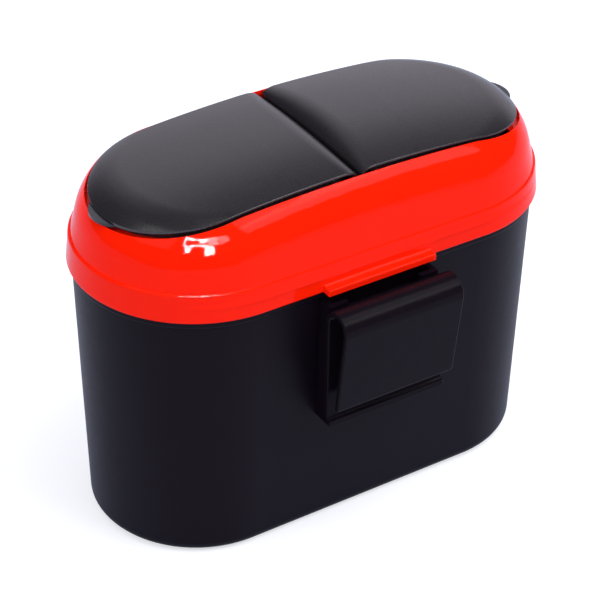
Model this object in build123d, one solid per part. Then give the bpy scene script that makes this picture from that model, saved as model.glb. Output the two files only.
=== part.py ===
from build123d import *
import os
from math import acos, atan2, cos, radians, sin, sqrt, tan

# Car trash bin: a drafted tub with a push-on lid ring, two crowned flaps that
# hinge at the middle of the mouth, and a hanging clip on the front wall.
# Millimetres, +Z up, X along the length, the clip on the -Y side, the base on Z = 0.

# Tub, a stadium in plan, measured where the lid ring sits
body_half_length = 105.0
body_half_width = 51.2
seat_height = 121.6
end_draft = 2.8
side_draft = 4.2
wall = 2.0
floor_thickness = 2.0
base_radius = 5.0
inner_base_radius = 3.0
rim_height = 11.0
bead_height = 3.0
bead_reach = 1.0
bead_radius = 0.9

# Lid ring: a band that slides over the tub's rim and a shoulder domed up to the mouth
ring_clearance = 0.3
band_reach = 0.8
skirt_wall = 1.4
band_height = 13.0
band_draft = 1.4
band_edge_radius = 0.8
step_radius = 1.6
shoulder_side_reach = 0.4
shoulder_end_inset = 0.3
shoulder_lean = 14.0
shoulder_radius = 28.0
crest_rise = 47.1
arch_radius = 655.0
ring_wall = 2.2
lip_side = 11.9
lip_end = 6.1
brim_radius = 0.25
flange_wall = 1.8
flange_depth = 17.2
ledge_reach = 7.0
ledge_span = 16.8
ledge_thickness = 2.0

# Thumb ledge on the ring's front, to pull the lid off
thumb_half_width = 25.9
thumb_reach = 5.1
thumb_thickness = 2.8
thumb_rise = 4.0
thumb_edge_radius = 0.8
thumb_flat = 0.5
thumb_flow = 0.2

# Flaps: a crowned cover clipped on a smooth tray, hinged on a steel pin
flap_gap = 1.2
split_half_gap = 1.0
split_radius = 9.0
split_skirt = 1.0
flap_drop = 1.5
crown_cross_radius = 178.0
crown_roll_radius = 24.0
crown_side_reach = 18.0
crown_end_reach = 5.75
flap_edge_radius = 0.4
cover_wall = 2.0
rebate_rise = 0.8
rebate_reach = 1.5
tray_depth = 8.0
tray_inset = 3.0
tray_thickness = 2.2
tray_clearance = 0.3
upstand_wall = 1.5
fit_clearance = 0.2
post_diameter = 4.0
post_side_inset = 16.0
post_hinge_offset = 20.0
post_end_inset = 21.0

# Finger tab at the outer end of each flap
tab_reach = 3.2
tab_radius = 13.0
tab_thickness = 1.2
tab_rise = 0.95
tab_root = 6.0

# Hinge pins
pin_diameter = 2.0
running_clearance = 0.05
barrel_wall = 1.9
bearing_depth = 1.2
bearing_skin = 1.4
bearing_half_width = 5.0
pin_end_clearance = 0.2

# Bracket on the tub's front wall: two rails with lips, closed by a shelf below
bracket_half_width = 26.0
bracket_reach = 7.5
bracket_drop = 4.1
bracket_height = 59.5
rail_wall = 2.4
rail_lip_width = 6.0
rail_lip_thickness = 2.4
shelf_thickness = 2.4

# Hanging clip: one bent strip with a tongue that drops into the rails
clip_overhang = 2.6
clip_sheet = 2.4
clip_gap = 0.2
clip_slide_clearance = 0.3
clip_roll_radius = 7.5
clip_roll_drop = 5.3
clip_plate_height = 38.9
clip_plate_offset = 10.1
clip_back_height = 46.2
clip_lip_radius = 2.0
clip_edge_radius = 0.6
tongue_thickness = 2.5

# Sizes that follow from the ones above
skirt_half_length = body_half_length + band_reach - skirt_wall
skirt_half_width = body_half_width + band_reach - skirt_wall
rim_top = seat_height + rim_height
shoulder_half_length = body_half_length - shoulder_end_inset
shoulder_half_width = body_half_width + shoulder_side_reach
shoulder_crest = seat_height + crest_rise
mouth_half_length = shoulder_half_length - lip_end
mouth_half_width = shoulder_half_width - lip_side
flap_half_length = mouth_half_length - flap_gap
flap_half_width = mouth_half_width - flap_gap
flap_crest = shoulder_crest - flap_drop
crown_half_length = flap_half_length + crown_end_reach
crown_half_width = flap_half_width + crown_side_reach
tray_top = flap_crest - tray_depth
tray_foot = tray_top - tray_thickness
hinge_x = split_half_gap + split_radius
hinge_z = flap_crest - arch_radius + sqrt((arch_radius - split_radius) ** 2 - hinge_x**2)
ledge_start = mouth_half_length - ledge_span
bracket_top = seat_height - bracket_drop
bracket_foot = bracket_top - bracket_height
clip_half_width = bracket_half_width + clip_overhang
clip_roll_height = bracket_top - clip_roll_drop
clip_plate_foot = clip_roll_height - clip_plate_height
clip_lip_height = clip_roll_height - clip_back_height
reach = 3 * body_half_length
touch = 0.01


def stadium(half_length, half_width):
    """Plan outline with straight sides and round ends."""
    return SlotOverall(2 * half_length, 2 * half_width)


def prism(half_length, half_width, bottom, top):
    """Upright block on the stadium outline."""
    return Pos(0, 0, bottom) * extrude(stadium(half_length, half_width), top - bottom)


def tapered(half_length, half_width, end_inset, side_inset, bottom, top):
    """Drafted block, the given size at its top and smaller by the insets at its bottom."""
    lower = Pos(0, 0, bottom) * stadium(half_length - end_inset, half_width - side_inset)
    upper = Pos(0, 0, top) * stadium(half_length, half_width)
    return loft([lower, upper], ruled=True)


def block(x0, x1, y0, y1, z0, z1):
    """Box between two corners."""
    middle = Pos((x0 + x1) / 2, (y0 + y1) / 2, (z0 + z1) / 2)
    return middle * Box(abs(x1 - x0), abs(y1 - y0), abs(z1 - z0))


def cross_rod(x, z, diameter, half_length):
    """Round rod along Y."""
    return Pos(x, 0, z) * Rot(90, 0, 0) * Cylinder(diameter / 2, 2 * half_length)


def under_arch(crest):
    """Everything below the long arch that the lid follows, highest at the crest."""
    return cross_rod(0, crest - arch_radius, 2 * arch_radius, reach)


def edges_above(solid, height):
    """Edges that lie wholly above a height."""
    return [edge for edge in solid.edges() if edge.bounding_box().min.Z > height]


def edges_below(solid, height):
    """Edges that lie wholly below a height."""
    return [edge for edge in solid.edges() if edge.bounding_box().max.Z < height]


def dome(inset):
    """The ring's shoulder as a solid, or its inside when inset by the ring's wall."""
    bottom = seat_height + band_height / 2
    grown = tan(radians(shoulder_lean)) * band_height / 2 - inset
    plan = stadium(shoulder_half_length + grown, shoulder_half_width + grown)
    crown = Pos(0, 0, bottom) * extrude(plan, shoulder_crest - bottom, taper=shoulder_lean)
    crown &= under_arch(shoulder_crest - inset)
    return fillet(edges_above(crown, bottom + 1), shoulder_radius - inset)


def dome_height(x, y):
    """Height of the shoulder's outside over a point in plan."""
    needle = block(x - touch, x + touch, y - touch, y + touch, seat_height, shoulder_crest)
    return (dome(0) & needle).bounding_box().max.Z


def bracket():
    """Two rails with inward lips and the shelf that closes the slot below."""
    front = -body_half_width - bracket_reach
    root = -body_half_width + side_draft + wall / 2
    inner = bracket_half_width - rail_wall
    rails = block(-inner, inner, front, root, bracket_foot, bracket_foot + shelf_thickness)
    for side in (-1, 1):
        lip_edge = inner - rail_lip_width
        lip_back = front + rail_lip_thickness
        rails += block(side * inner, side * bracket_half_width, front, root, bracket_foot, bracket_top)
        rails += block(side * lip_edge, side * inner, front, lip_back, bracket_foot, bracket_top)
    return rails


def bin_body():
    """Thin tub with a bead under the lid ring and the bracket moulded on."""
    shell = tapered(body_half_length, body_half_width, end_draft, side_draft, 0, seat_height)
    shell = fillet(edges_below(shell, 1), base_radius)
    bead = prism(
        body_half_length + bead_reach,
        body_half_width + bead_reach,
        seat_height - bead_height,
        seat_height,
    )
    bead = fillet(edges_below(bead, seat_height - bead_height / 2), bead_radius)
    rim_length = skirt_half_length - ring_clearance
    rim_width = skirt_half_width - ring_clearance
    rim = prism(rim_length, rim_width, seat_height - bead_height, rim_top)
    cavity = tapered(
        rim_length - wall,
        rim_width - wall,
        rim_length - body_half_length + end_draft,
        rim_width - body_half_width + side_draft,
        floor_thickness,
        rim_top,
    )
    cavity = fillet(edges_below(cavity, floor_thickness + 1), inner_base_radius)
    return shell + bead + rim + bracket() - cavity


def thumb_ledge():
    """Ledge that flows out of the band's lower edge, drawn in side view."""
    face = -body_half_width - band_reach
    tip = face - thumb_reach
    root = face + skirt_wall / 2
    top = seat_height + thumb_thickness
    rise = top + thumb_rise
    shelf_start = (tip + thumb_edge_radius + thumb_flat, top)
    flow = (face - thumb_flow * thumb_reach, top + thumb_flow * thumb_rise)
    turned = thumb_edge_radius * (1 - sqrt(0.5))
    side = Curve() + [
        Line((root, seat_height), (tip, seat_height)),
        Line((tip, seat_height), (tip, top - thumb_edge_radius)),
        ThreePointArc(
            (tip, top - thumb_edge_radius),
            (tip + turned, top - turned),
            (tip + thumb_edge_radius, top),
        ),
        Line((tip + thumb_edge_radius, top), shelf_start),
        ThreePointArc(shelf_start, flow, (face, rise)),
        Line((face, rise), (root, rise)),
        Line((root, rise), (root, seat_height)),
    ]
    return extrude(Plane.YZ * make_face(side), thumb_half_width, both=True)


def flap_ledge(side):
    """Ledge under the end of the mouth that the closed flap comes down on."""
    top = tray_foot - tray_clearance
    embed = flange_wall / 2
    outer = prism(mouth_half_length + embed, mouth_half_width + embed, seat_height, shoulder_crest)
    inner_length = mouth_half_length - ledge_reach
    inner_width = mouth_half_width - ledge_reach
    ring = outer - prism(inner_length, inner_width, seat_height, shoulder_crest)
    ring &= block(side * ledge_start, side * reach, -reach, reach, seat_height, shoulder_crest)
    return (ring & under_arch(top)) - under_arch(top - ledge_thickness)


def on_wall(edge, half_length, half_width):
    """True for an edge that lies on the upright wall of a stadium."""
    point = edge.position_at(0.5)
    over = max(abs(point.X) - half_length + half_width, 0)
    return abs(sqrt(over**2 + point.Y**2) - half_width) < touch


def shoulder():
    """Dome with the mouth cut through it and the brim of the mouth rounded over."""
    opened = dome(0) - prism(mouth_half_length, mouth_half_width, seat_height, shoulder_crest)
    upper = edges_above(opened, seat_height + band_height)
    brim = [edge for edge in upper if on_wall(edge, mouth_half_length, mouth_half_width)]
    return fillet(brim, brim_radius)


def band():
    """Drafted band, stepped at its top and rounded at its lower edge."""
    top = seat_height + band_height
    length = body_half_length + band_reach
    width = body_half_width + band_reach
    solid = tapered(length, width, -band_draft, -band_draft, seat_height, top)
    solid = fillet(edges_above(solid, top - 1), step_radius)
    return fillet(edges_below(solid, seat_height + 1), band_edge_radius)


def mouth_flange():
    """Wall that hangs from the brim, thickened where the hinge pins run."""
    length = mouth_half_length + flange_wall
    width = mouth_half_width + flange_wall
    flange = prism(length, width, seat_height, shoulder_crest)
    outer = mouth_half_width + bearing_depth + bearing_skin
    for side in (-1, 1):
        middle = side * hinge_x
        flange += block(
            middle - bearing_half_width,
            middle + bearing_half_width,
            -outer,
            outer,
            seat_height,
            shoulder_crest,
        )
    return (flange & shoulder()) - under_arch(shoulder_crest - flange_depth)


def lid_ring():
    """Band, domed shoulder, flange round the mouth, flap ledges, bearings and thumb ledge."""
    skirt = prism(skirt_half_length, skirt_half_width, seat_height, rim_top + ring_clearance)
    ring = band() + thumb_ledge() + shoulder() - skirt - dome(ring_wall) + mouth_flange()
    hole = pin_diameter + 2 * running_clearance
    for side in (-1, 1):
        ring += flap_ledge(side)
        ring -= cross_rod(side * hinge_x, hinge_z, hole, mouth_half_width + bearing_depth)
    return ring


def flap_outline(inset):
    """Upright block on the outline of both flaps together."""
    return prism(flap_half_length - inset, flap_half_width - inset, seat_height, shoulder_crest)


def under_crown(inset):
    """Everything below the flaps' top, which follows the long arch and is bowed across too."""
    middle = flap_crest - arch_radius
    crest = flap_crest - inset
    bow = crown_cross_radius - inset
    half = crown_half_width + crown_side_reach
    side = crest - bow + sqrt(bow**2 - half**2)
    profile = Curve() + [
        ThreePointArc((-half, side), (0, crest), (half, side)),
        Line((half, side), (half, middle)),
        Line((half, middle), (-half, middle)),
        Line((-half, middle), (-half, side)),
    ]
    return revolve(Plane.YZ * make_face(profile), Axis((0, 0, middle), (0, 1, 0)))


def flap_crown(inset):
    """Room under the left flap's top, or under its inside when inset by the wall."""
    crown = prism(crown_half_length - inset, crown_half_width - inset, 0, shoulder_crest)
    crown = fillet(edges_above(crown & under_crown(inset), seat_height), crown_roll_radius - inset)
    face = -split_half_gap - inset
    crown &= block(-reach, face, -reach, reach, 0, reach)
    upper = edges_above(crown, seat_height)
    split = [edge for edge in upper if edge.bounding_box().min.X > face - touch]
    return fillet(split, split_radius - inset)


def posts(diameter):
    """Posts that hold the cover to the tray."""
    near = -hinge_x - post_hinge_offset
    far = -flap_half_length + post_end_inset
    offset = flap_half_width - post_side_inset
    pegs = Part()
    for x, y in ((near, -offset), (near, offset), (far, 0)):
        pegs += Pos(x, y, tray_top) * Cylinder(diameter / 2, 2 * tray_depth)
    return pegs


def finger_tab(clearance):
    """Crescent that stands out past the flap's round end."""
    middle = -flap_half_length - tab_reach + tab_radius
    plan = Pos(middle, 0) * Circle(tab_radius + clearance)
    root = -flap_half_length + tab_root + clearance
    plan &= Pos(root - reach / 2, 0) * Rectangle(reach, 2 * reach)
    return plan


def tab_foot():
    """Height of the tab's underside, just above the brim of the mouth."""
    return dome_height(-mouth_half_length - flap_gap / 2, 0) + tab_rise


def flap_cover():
    """Crowned sheet with pegs under it, rolled down at the split and notched for the tab."""
    crown = flap_crown(0) & flap_outline(0)
    upper = edges_above(crown, seat_height)
    rim = [edge for edge in upper if on_wall(edge, flap_half_length, flap_half_width)]
    rim.sort(key=lambda edge: edge.center().X + edge.center().Y, reverse=True)
    sheet = fillet(rim, flap_edge_radius) - flap_crown(cover_wall)
    sheet -= flap_crown(rebate_rise) - flap_outline(rebate_reach)
    sheet -= block(-hinge_x, 0, -reach, reach, 0, hinge_z - split_skirt)
    notch_top = tab_foot() + tab_thickness + tray_clearance
    sheet -= Pos(0, 0, seat_height) * extrude(finger_tab(tray_clearance), notch_top - seat_height)
    pegs = (posts(post_diameter) & flap_crown(cover_wall / 2)) - under_arch(tray_foot)
    return sheet + pegs


def flap_tray():
    """Arched plate under the cover with an upstand, the hinge barrel and the finger tab."""
    outline = flap_outline(tray_inset) & block(-reach, -hinge_x, -reach, reach, 0, reach)
    plate = (outline & under_arch(tray_top)) - under_arch(tray_foot)
    upstand = outline - flap_outline(tray_inset + upstand_wall)
    upstand = (upstand & flap_crown(cover_wall + fit_clearance)) - under_arch(tray_foot)
    barrel_half = flap_half_width - tray_inset
    barrel = cross_rod(-hinge_x, hinge_z, pin_diameter + 2 * barrel_wall, barrel_half)
    tab_bottom = tab_foot()
    tab = Pos(0, 0, tab_bottom) * extrude(finger_tab(0), tab_thickness)
    root = Pos(0, 0, seat_height) * extrude(finger_tab(0), tab_bottom + tab_thickness - seat_height)
    root = (root & outline) - under_arch(tray_foot)
    tray = plate + upstand + barrel + tab + root
    tray -= cross_rod(-hinge_x, hinge_z, pin_diameter + running_clearance, reach)
    return tray - posts(post_diameter + fit_clearance)


def hinge_pin():
    """Steel rod through the tray's barrel, running in the ring's bearings."""
    half = mouth_half_width + bearing_depth - pin_end_clearance
    pin = cross_rod(-hinge_x, hinge_z, pin_diameter, half)
    return chamfer(pin.edges().filter_by(GeomType.CIRCLE), pin_diameter / 8)


def hook_clip():
    """Strip bent over a roll, with a slanting front plate, a flared foot and a tongue."""
    rail_front = body_half_width + bracket_reach
    back = rail_front + clip_gap
    front = back + clip_sheet
    middle = back + clip_roll_radius
    inner_radius = clip_roll_radius - clip_sheet
    foot = back + clip_plate_offset
    span = sqrt((foot - middle) ** 2 + (clip_plate_foot - clip_roll_height) ** 2)
    turn = atan2(clip_plate_foot - clip_roll_height, foot - middle) + acos(clip_roll_radius / span)

    def on_roll(radius, angle):
        return (-middle - radius * cos(angle), clip_roll_height + radius * sin(angle))

    def inward(point, distance):
        return (point[0] + distance * cos(turn), point[1] - distance * sin(turn))

    plate_end = (-foot, clip_plate_foot)
    half_sheet = clip_sheet / 2
    plate_mid = inward(plate_end, half_sheet)
    plate_tip = (plate_mid[0] - half_sheet * sin(turn), plate_mid[1] - half_sheet * cos(turn))
    plate_in = inward(plate_end, clip_sheet)
    lip_y = -front - clip_lip_radius
    lip_outer = clip_lip_radius + clip_sheet
    half = sqrt(0.5)
    side = Curve() + [
        Line((-back, clip_lip_height), (-back, clip_roll_height)),
        ThreePointArc(
            (-back, clip_roll_height),
            (-middle, clip_roll_height + clip_roll_radius),
            on_roll(clip_roll_radius, turn),
        ),
        Line(on_roll(clip_roll_radius, turn), plate_end),
        ThreePointArc(plate_end, plate_tip, plate_in),
        Line(plate_in, on_roll(inner_radius, turn)),
        ThreePointArc(
            on_roll(inner_radius, turn),
            (-middle, clip_roll_height + inner_radius),
            (-front, clip_roll_height),
        ),
        Line((-front, clip_roll_height), (-front, clip_lip_height)),
        ThreePointArc(
            (-front, clip_lip_height),
            (lip_y + half * clip_lip_radius, clip_lip_height - half * clip_lip_radius),
            (lip_y, clip_lip_height - clip_lip_radius),
        ),
        Line((lip_y, clip_lip_height - clip_lip_radius), (lip_y, clip_lip_height - lip_outer)),
        ThreePointArc(
            (lip_y, clip_lip_height - lip_outer),
            (lip_y + half * lip_outer, clip_lip_height - half * lip_outer),
            (-back, clip_lip_height),
        ),
    ]
    strip = extrude(Plane.YZ * make_face(side), clip_half_width, both=True)
    ends = [edge for edge in strip.edges() if edge.bounding_box().size.X < touch]
    strip = fillet(ends, clip_edge_radius)
    slot_half = bracket_half_width - rail_wall
    tongue_half = slot_half - clip_slide_clearance
    neck_half = slot_half - rail_lip_width - clip_slide_clearance
    tongue_front = -rail_front + rail_lip_thickness + clip_slide_clearance
    tongue_back = tongue_front + tongue_thickness
    shelf = bracket_foot + shelf_thickness
    tongue = block(-tongue_half, tongue_half, tongue_front, tongue_back, shelf, clip_roll_height)
    neck_front = -back - half_sheet
    neck = block(-neck_half, neck_half, neck_front, tongue_front, clip_lip_height, clip_roll_height)
    return strip + tongue + neck


os.makedirs("parts", exist_ok=True)
left = {"flap_cover": flap_cover(), "flap_tray": flap_tray(), "hinge_pin": hinge_pin()}
pieces = {"bin_body": bin_body(), "lid_ring": lid_ring(), "hook_clip": hook_clip()}
for name, piece in left.items():
    pieces["left_" + name] = piece
    pieces["right_" + name] = mirror(piece, about=Plane.YZ)
for name, piece in pieces.items():
    export_step(piece, "parts/" + name + ".step")
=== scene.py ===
from math import cos, radians, sin, sqrt

import bmesh
import bpy
from mathutils import Matrix, Vector


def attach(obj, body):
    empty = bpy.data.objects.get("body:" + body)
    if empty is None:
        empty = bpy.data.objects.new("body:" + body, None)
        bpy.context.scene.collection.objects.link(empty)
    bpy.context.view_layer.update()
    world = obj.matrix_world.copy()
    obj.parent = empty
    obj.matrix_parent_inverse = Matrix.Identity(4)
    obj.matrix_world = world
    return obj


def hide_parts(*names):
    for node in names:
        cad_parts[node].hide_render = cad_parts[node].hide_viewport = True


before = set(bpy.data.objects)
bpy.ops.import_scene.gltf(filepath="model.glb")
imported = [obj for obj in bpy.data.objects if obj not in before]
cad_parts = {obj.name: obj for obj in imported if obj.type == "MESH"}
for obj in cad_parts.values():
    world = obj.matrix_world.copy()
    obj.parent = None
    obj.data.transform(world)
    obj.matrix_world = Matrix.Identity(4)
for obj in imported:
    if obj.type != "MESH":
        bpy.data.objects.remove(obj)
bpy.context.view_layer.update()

# Tub: one deep injection moulding in black polypropylene with a satin skin. The bead under
# the lid and the rails of the hanging clip are part of it.


class Wire:
    """One socket of a material's nodes. Arithmetic on it adds Math nodes."""

    def __init__(self, tree, socket):
        self.tree = tree
        self.socket = socket

    def node(self, kind, settings=None, inputs=None, output=0):
        """Adds a node: its settings first, then the values or links of its sockets."""
        made = self.tree.nodes.new(kind)
        for name, value in (settings or {}).items():
            if name == "stops":
                ramp = made.color_ramp.elements
                while len(ramp) < len(value):
                    ramp.new(1.0)
                for stop, (place, tone) in zip(ramp, value):
                    stop.position = place
                    stop.color = (*tone, 1.0)
            else:
                setattr(made, name, value)
        for name, value in (inputs or {}).items():
            if isinstance(value, Wire):
                self.tree.links.new(value.socket, made.inputs[name])
            else:
                made.inputs[name].default_value = value
        return Wire(self.tree, made.outputs[output] if made.outputs else None)

    def math(self, operation, first, second):
        return self.node("ShaderNodeMath", {"operation": operation}, {0: first, 1: second})

    def __add__(self, other):
        return self.math("ADD", self, other)

    def __radd__(self, other):
        return self.math("ADD", other, self)

    def __sub__(self, other):
        return self.math("SUBTRACT", self, other)

    def __rsub__(self, other):
        return self.math("SUBTRACT", other, self)

    def __mul__(self, other):
        return self.math("MULTIPLY", self, other)

    def __rmul__(self, other):
        return self.math("MULTIPLY", other, self)

    def noise(self, scale, detail=2.0, roughness=0.5):
        """Even noise from 0 to 1 over the piece, in cells per metre."""
        sockets = {"Vector": self, "Scale": scale, "Detail": detail, "Roughness": roughness}
        return self.node("ShaderNodeTexNoise", {}, sockets)

    def between(self, low, high):
        """Spreads the values from low to high over 0 to 1, softly at both ends."""
        settings = {"interpolation_type": "SMOOTHSTEP", "clamp": True}
        sockets = {"Value": self, "From Min": low, "From Max": high}
        return self.node("ShaderNodeMapRange", settings, sockets)

    def blend(self, first, second):
        """First colour where the value is 0, second where it is 1."""
        tones = {"Factor": self, 6: (*first, 1.0), 7: (*second, 1.0)}
        return self.node("ShaderNodeMix", {"data_type": "RGBA"}, tones, 2)

    def bump(self, strength, distance):
        """Surface normal raised where the value is high, by the distance in metres."""
        sockets = {"Strength": strength, "Distance": distance, "Height": self}
        return self.node("ShaderNodeBump", {}, sockets)


def finish_of(name, constants):
    """New material with one shader, its even values set, and the piece's own coordinates."""
    material = bpy.data.materials.new(name)
    material.use_nodes = True
    tree = material.node_tree
    shader = tree.nodes["Principled BSDF"]
    for socket, value in constants.items():
        shader.inputs[socket].default_value = value
    place = tree.nodes.new("ShaderNodeTexCoord").outputs["Object"]
    return material, shader, Wire(tree, place)


def feed(shader, **wires):
    """Links what varies over the surface to the shader's sockets."""
    for name, wire in wires.items():
        wire.tree.links.new(wire.socket, shader.inputs[name.replace("_", " ")])


def dress(node, material):
    """Gives a piece of the frame its finish."""
    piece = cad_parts[node]
    piece.data.materials.clear()
    piece.data.materials.append(material)


satin_black, shader, place = finish_of(
    "satin_black_plastic", {"Specular IOR Level": 0.08, "IOR": 1.5}
)
flow = place.noise(22.0, 3.0)
grain = place.noise(2600.0, 2.0)
rubbed = place.noise(140.0, 4.0, 0.6).between(0.58, 0.75)
feed(
    shader,
    Base_Color=flow.blend((0.0050, 0.0024, 0.0056), (0.0064, 0.0036, 0.0074)),
    Roughness=0.30 + 0.10 * flow + 0.06 * grain - 0.05 * rubbed,
    Normal=(grain + 0.6 * flow).bump(0.35, 0.00004),
)
dress("bin_body", satin_black)

# Lid ring: a gloss red moulding that pushes over the tub's rim. Its polished skin is a little
# wavy where the thick shoulder cooled, so reflections break up on it.
gloss_red, shader, place = finish_of(
    "gloss_red_plastic", {"Specular IOR Level": 0.08, "IOR": 1.5}
)
wave = place.noise(55.0, 2.0)
ripple = place.noise(210.0, 2.0)
speck = place.noise(1500.0, 2.0)
feed(
    shader,
    Base_Color=wave.blend((0.92, 0.0118, 0.0010), (0.96, 0.0138, 0.0018)),
    Roughness=0.03 + 0.02 * wave + 0.01 * speck,
    Normal=(wave + 0.22 * ripple + 0.01 * speck).bump(0.5, 0.0002),
)
dress("lid_ring", gloss_red)

# Hanging clip: a strip of gloss black plastic, moulded with a roll, a slanting plate and a
# flared foot. Its tongue is pushed down into the tub's rails.
gloss_black, shader, place = finish_of(
    "gloss_black_plastic", {"Specular IOR Level": 0.045, "IOR": 1.5}
)
wave = place.noise(70.0, 2.0)
scuff = place.noise(320.0, 5.0, 0.65).between(0.55, 0.8)
speck = place.noise(1800.0, 2.0)
feed(
    shader,
    Base_Color=scuff.blend((0.0068, 0.0045, 0.0078), (0.0096, 0.0073, 0.0106)),
    Roughness=0.17 + 0.07 * wave + 0.10 * scuff,
    Normal=(wave + 0.02 * speck).bump(0.4, 0.0004),
)
dress("hook_clip", gloss_black)

# Flap covers: crowned shells moulded in dark grey with a fine eroded grain, matt with a soft
# sheen, snapped on the trays by their posts. Each rolls down to a crisp, nearly straight edge
# at the split, so the frame's shell is cut off there and its section carried on over the roll.
grained_grey, shader, place = finish_of(
    "grained_grey_plastic", {"Specular IOR Level": 0.8, "IOR": 1.5}
)
cloud = place.noise(40.0, 3.0)
grain = place.noise(1900.0, 3.0, 0.6)
worn = place.noise(180.0, 4.0, 0.6).between(0.55, 0.78)
feed(
    shader,
    Base_Color=cloud.blend((0.0122, 0.0108, 0.0140), (0.0150, 0.0136, 0.0170)),
    Roughness=0.20 + 0.10 * grain + 0.05 * cloud - 0.05 * worn,
    Normal=grain.bump(0.35, 0.00008),
)
cover_crest = 0.1672
cover_arch = 0.655
cover_bow = 0.178
cover_wall = 0.0020
cover_half_width = 0.0385
split_half_gap = 0.0010
roll_start = 0.0170
roll_reach = 0.0105
roll_narrowing = 0.0040
roll_foot = 0.1599
skirt_foot = 0.1571
flat_steps = 4
roll_steps = 20
soft_angle = radians(35.0)


def cover_top(out, across):
    """Height of the crown, out from the split and across the flap."""
    ring = cover_arch - cover_bow + sqrt(cover_bow ** 2 - across ** 2)
    return cover_crest - cover_arch + sqrt(ring ** 2 - out ** 2)


def roll_drop(out, across):
    """How far the roll, a quarter of an ellipse with a straight foot, brings the crown down."""
    reach = roll_reach - roll_narrowing * (across / cover_half_width) ** 2
    run = min(1.0, max(0.0, (reach + split_half_gap - out) / reach))
    return (cover_top(0.0, across) - roll_foot) * (1.0 - sqrt(1.0 - run ** 2))


def rolled_cover(node, name, sign):
    """Shell of the frame's cover, carried on from its cut over the roll to the skirt's foot."""
    shell = bmesh.new()
    shell.from_mesh(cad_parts[node].data)
    bmesh.ops.remove_doubles(shell, verts=shell.verts, dist=1e-6)
    everything = shell.verts[:] + shell.edges[:] + shell.faces[:]
    bmesh.ops.bisect_plane(
        shell, geom=everything, dist=1e-7,
        plane_co=(sign * roll_start, 0.0, 0.0), plane_no=(-sign, 0.0, 0.0), clear_outer=True,
    )
    cut = [edge for edge in shell.edges if edge.is_boundary]
    loop = [cut[0].verts[0], cut[0].verts[1]]
    while len(loop) < len(cut):
        ahead = [edge.other_vert(loop[-1]) for edge in loop[-1].link_edges if edge.is_boundary]
        loop.append(ahead[0] if ahead[0] != loop[-2] else ahead[1])

    section = []
    for vert in loop:
        depth = (cover_top(roll_start, vert.co.y) - vert.co.z) / cover_wall
        section.append((vert.co.y, vert.co.z, min(1.0, max(0.0, depth))))
    flat = roll_start - split_half_gap - roll_reach
    stations = [roll_start - flat * step / flat_steps for step in range(1, flat_steps + 1)]
    turns = [radians(90.0) * step / roll_steps for step in range(1, roll_steps + 1)]
    stations += [split_half_gap + roll_reach * (1.0 - sin(turn)) for turn in turns]
    for out in stations + [None]:
        row = []
        for across, height, depth in section:
            near = max(out or 0.0, split_half_gap + cover_wall * depth)
            rise = cover_top(near, across) - cover_top(roll_start, across)
            level = height + rise - roll_drop(near, across) if out else skirt_foot
            row.append(shell.verts.new((sign * near, across, level)))
        for here in range(len(loop)):
            after = (here + 1) % len(loop)
            shell.faces.new((loop[here], loop[after], row[after], row[here]))
        loop = row
    shell.faces.new(loop)
    bmesh.ops.remove_doubles(shell, verts=shell.verts, dist=2e-6)
    bmesh.ops.dissolve_degenerate(shell, edges=shell.edges, dist=1e-6)
    bmesh.ops.recalc_face_normals(shell, faces=shell.faces)
    for face in shell.faces:
        face.smooth = True
    for edge in shell.edges:
        edge.smooth = edge.is_manifold and edge.calc_face_angle(0.0) < soft_angle

    mesh = bpy.data.meshes.new(name)
    shell.to_mesh(mesh)
    shell.free()
    if "custom_normal" in mesh.attributes:
        mesh.attributes.remove(mesh.attributes["custom_normal"])
    mesh.materials.clear()
    mesh.materials.append(grained_grey)
    cover = bpy.data.objects.new(name, mesh)
    bpy.context.scene.collection.objects.link(cover)
    even = cover.modifiers.new("even_shading", "WEIGHTED_NORMAL")
    even.keep_sharp = True
    return cover


for side, sign in (("left", -1.0), ("right", 1.0)):
    cover = rolled_cover(side + "_flap_cover", side + "_rolled_cover", sign)
    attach(cover, side + "_flap")
    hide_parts(side + "_flap_cover")

# Flap trays: the smooth inner halves, whose crescent tabs stand out past the covers to be
# lifted by a finger. A blue-grey moulding with a polished skin.
smooth_slate, shader, place = finish_of(
    "smooth_slate_plastic", {"Specular IOR Level": 0.4, "IOR": 1.5}
)
wave = place.noise(80.0, 2.0)
touched = place.noise(260.0, 4.0, 0.6).between(0.5, 0.75)
feed(
    shader,
    Base_Color=wave.blend((0.020, 0.022, 0.029), (0.026, 0.029, 0.037)),
    Roughness=0.22 + 0.08 * wave + 0.10 * touched,
    Normal=wave.bump(0.3, 0.0003),
)
for side in ("left", "right"):
    dress(side + "_flap_tray", smooth_slate)

# Hinge pins: lengths of drawn steel wire, chamfered at the ends, with the fine lines that
# the drawing die leaves along them.
drawn_steel, shader, place = finish_of("drawn_steel", {"Metallic": 1.0})
along = place.node("ShaderNodeMapping", {}, {"Vector": place, "Scale": (1.0, 0.02, 1.0)})
lines = along.noise(9000.0, 2.0)
feed(
    shader,
    Base_Color=lines.blend((0.50, 0.50, 0.51), (0.66, 0.66, 0.67)),
    Roughness=0.22 + 0.16 * lines,
    Normal=lines.bump(0.3, 0.00002),
)
for side in ("left", "right"):
    dress(side + "_hinge_pin", drawn_steel)

# Studio: a plain pale floor under soft light. The floor is lifted to white where it is seen
# directly or in a reflection, and keeps the bin's shadow.
floor_half = 6.0
floor_mesh = bpy.data.meshes.new("floor")
corners = [(-1, -1), (1, -1), (1, 1), (-1, 1)]
spread = [(floor_half * x, floor_half * y, 0.0) for x, y in corners]
floor_mesh.from_pydata(spread, [], [(0, 1, 2, 3)])
floor = bpy.data.objects.new("floor", floor_mesh)
bpy.context.scene.collection.objects.link(floor)

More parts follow.
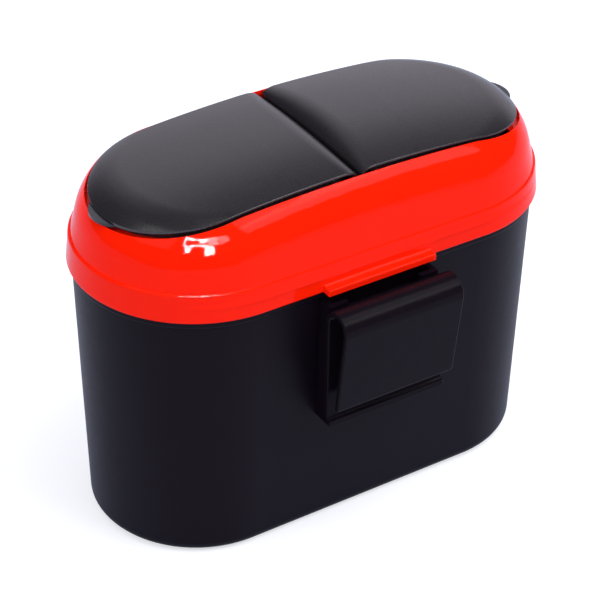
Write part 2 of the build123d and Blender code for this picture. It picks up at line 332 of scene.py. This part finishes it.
pale_floor = bpy.data.materials.new("pale_floor")
pale_floor.use_nodes = True
tree = pale_floor.node_tree
tree.nodes.clear()
start = Wire(tree, None)
seen = start.node("ShaderNodeLightPath", output="Is Camera Ray")
mirrored = start.node("ShaderNodeLightPath", output="Is Glossy Ray")
through = start.node("ShaderNodeLightPath", output="Is Transmission Ray")
matt = start.node("ShaderNodeBsdfDiffuse", {}, {"Color": (0.52, 0.53, 0.60, 1.0)})
lift = start.node("ShaderNodeEmission", {}, {"Strength": 0.55 * seen})
cool = {"Color": (0.46, 0.60, 1.0, 1.0), "Strength": 0.32 * (mirrored + through)}
cast = start.node("ShaderNodeEmission", {}, cool)
pale = start.node("ShaderNodeAddShader", {}, {0: matt, 1: lift})
both = start.node("ShaderNodeAddShader", {}, {0: pale, 1: cast})
start.node("ShaderNodeOutputMaterial", {}, {"Surface": both})
floor_mesh.materials.append(pale_floor)

world = bpy.data.worlds.new("studio")
bpy.context.scene.world = world
world.use_nodes = True
tree = world.node_tree
tree.nodes.clear()
start = Wire(tree, None)
seen = start.node("ShaderNodeLightPath", output="Is Camera Ray")
mirrored = start.node("ShaderNodeLightPath", output="Is Glossy Ray")
through = start.node("ShaderNodeLightPath", output="Is Transmission Ray")
heading = start.node("ShaderNodeTexCoord", output="Generated")
to_side = start.node("ShaderNodeSeparateXYZ", {}, {0: heading}, 0)
to_back = start.node("ShaderNodeSeparateXYZ", {}, {0: heading}, 1)
to_top = start.node("ShaderNodeSeparateXYZ", {}, {0: heading}, 2)
to_right = to_side.between(-0.45, 0.50)
behind = (to_back - to_top - 0.5 * to_side).between(-0.58, -0.06)
horizon = (to_back - to_top).between(0.20, 0.50)
bright = to_right * behind * (1.0 - 0.15 * horizon)
backdrop = bright.blend((0.05, 0.045, 0.055), (0.93, 0.87, 0.98))
dome_light = {"Color": (0.97, 0.98, 1.0, 1.0), "Strength": 0.86}
dome = start.node("ShaderNodeBackground", {}, dome_light)
plain_white = {"Color": (1.0, 1.0, 1.0, 1.0), "Strength": 1.0}
white = start.node("ShaderNodeBackground", {}, plain_white)
room = start.node("ShaderNodeBackground", {}, {"Color": backdrop, "Strength": 1.0})
lit = start.node("ShaderNodeMixShader", {}, {0: mirrored + through, 1: dome, 2: room})
sky = start.node("ShaderNodeMixShader", {}, {0: seen, 1: lit, 2: white})
start.node("ShaderNodeOutputWorld", {}, {"Surface": sky})


def softbox(name, place, aim, width, height, radiance):
    """Soft light at a place, turned to the aim, as bright as the radiance of its face."""
    lamp = bpy.data.lights.new(name, "AREA")
    lamp.shape = "RECTANGLE"
    lamp.size = width
    lamp.size_y = height
    lamp.energy = 4.0 * radiance * width * height
    holder = bpy.data.objects.new(name, lamp)
    holder.location = place
    holder.rotation_euler = (Vector(aim) - Vector(place)).to_track_quat("-Z", "Y").to_euler()
    bpy.context.scene.collection.objects.link(holder)
    return holder


middle = Vector((0.0, 0.0, 0.10))
softbox("overhead", (0.48, -0.50, 1.50), middle, 1.1, 1.1, 2.4)
softbox("right_front", (0.63, -0.93, 1.10), middle, 0.75, 0.35, 3.2)
softbox("left_side", (-1.05, -0.22, 1.10), middle, 0.9, 0.9, 1.15)

# Window panes: the lattice of a window to the left of the camera, which only the gloss ring
# shows. Each row gives a pane's azimuth and elevation in degrees as seen from the gleam on the
# ring, its width and height in metres, and its radiance.
gleam = Vector((-0.0757, -0.0402, 0.1516))
pane_distance = 1.5
gloss_pieces = bpy.data.collections.new("gloss_pieces")
gloss_pieces.objects.link(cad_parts["lid_ring"])
panes = (
    (-25.2, 40.7, 0.21, 0.25, 130.0),
    (-38.8, 44.5, 0.31, 0.06, 130.0),
    (-46.2, 38.0, 0.05, 0.26, 130.0),
    (-33.0, 32.5, 0.58, 0.08, 130.0),
    (-20.0, 24.0, 0.22, 0.34, 130.0),
    (-41.2, 26.0, 0.13, 0.18, 130.0),
    (-15.0, 38.5, 0.20, 0.36, 38.0),
    (-4.0, 38.0, 0.25, 0.32, 16.0),
)
for number, (azimuth, elevation, width, height, radiance) in enumerate(panes, 1):
    turn, tilt = radians(azimuth), radians(elevation)
    heading = Vector((sin(turn) * cos(tilt), -cos(turn) * cos(tilt), sin(tilt)))
    spot = gleam + pane_distance * heading
    pane = softbox("window_pane_" + str(number), spot, gleam, width, height, radiance)
    pane.visible_diffuse = False
    pane.light_linking.receiver_collection = gloss_pieces

# Camera: the photograph's own view, from the left of the clip and well above the lid. The
# focal length is in pixels of the 600 pixel frame, and nothing is out of focus.
camera_azimuth = radians(-32.667)
camera_elevation = radians(34.483)
camera_roll = radians(0.680)
camera_distance = 0.98106
aim_right = -0.00188
aim_up = 0.06390
sensor_mm = 36.0
frame_pixels = 600
focal_pixels = 2168.67

back = Vector((
    sin(camera_azimuth) * cos(camera_elevation),
    -cos(camera_azimuth) * cos(camera_elevation),
    sin(camera_elevation),
))
level = Vector((cos(camera_azimuth), sin(camera_azimuth), 0.0))
upright = back.cross(level)
right = cos(camera_roll) * level + sin(camera_roll) * upright
up = cos(camera_roll) * upright - sin(camera_roll) * level
lens = bpy.data.cameras.new("camera")
lens.sensor_width = sensor_mm
lens.lens = focal_pixels * sensor_mm / frame_pixels
camera = bpy.data.objects.new("camera", lens)
turn = Matrix((right, up, back)).transposed().to_4x4()
spot = camera_distance * back + aim_right * right + aim_up * up
camera.matrix_world = Matrix.Translation(spot) @ turn
bpy.context.scene.collection.objects.link(camera)
bpy.context.scene.camera = camera
bpy.context.scene.view_settings.view_transform = "Standard"
